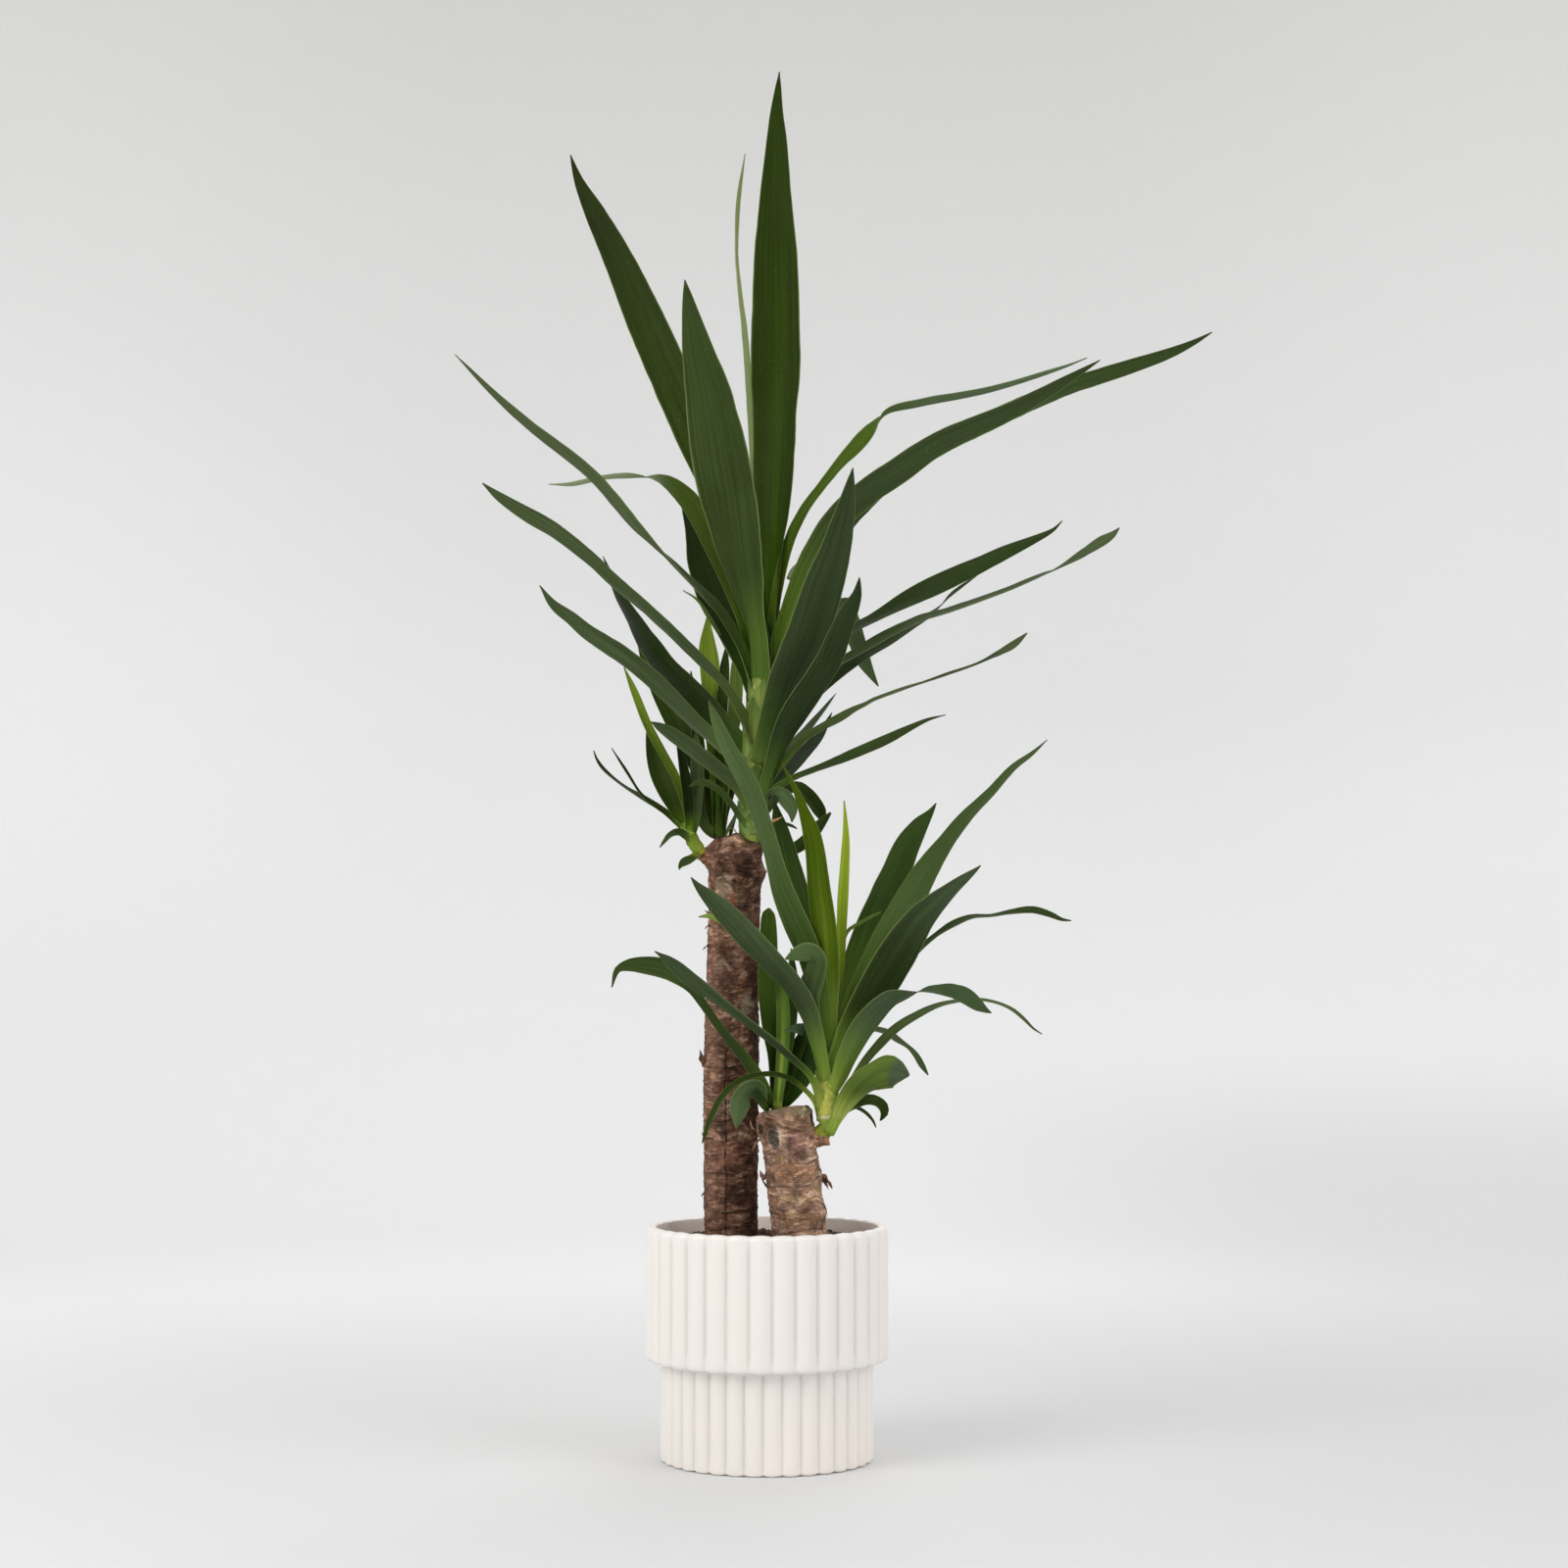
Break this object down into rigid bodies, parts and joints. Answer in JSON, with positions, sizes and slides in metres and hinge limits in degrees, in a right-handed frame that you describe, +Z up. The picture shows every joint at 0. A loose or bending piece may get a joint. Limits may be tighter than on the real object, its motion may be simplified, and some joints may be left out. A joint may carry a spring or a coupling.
{
  "type": "potted yucca",
  "caption": "Potted yucca: sawn canes with tufts of sword-shaped leaves, standing in soil in a ribbed ceramic pot with a wide upper and a narrower lower step.",
  "frame": {"origin": "middle of the pot's flat underside, on the surface that it stands on", "axes": "+Z up, -Y towards the front that the leaves of the short cane lean past, +X to the right seen from the front"},
  "size_m": [0.6505, 0.3825, 1.1759],
  "materials": {
    "glazed_pot": "satin cream glaze",
    "soil": "dark crumbly potting soil",
    "tall_cane_bark": "dark brown ringed bark",
    "short_cane_bark": "tan ringed bark",
    "leaf": "satin dark green blades, paler below, with fine veins"
  },
  "bodies": {
    "root": {"pot": "glazed_pot", "soil": "soil", "tall_cane": "tall_cane_bark", "short_cane": "short_cane_bark", "crown_shoot": "leaf", "rear_shoot": "leaf", "side_shoot": "leaf", "right_shoot": "leaf", "top_shoot": "leaf"}
  },
  "joints": []
}
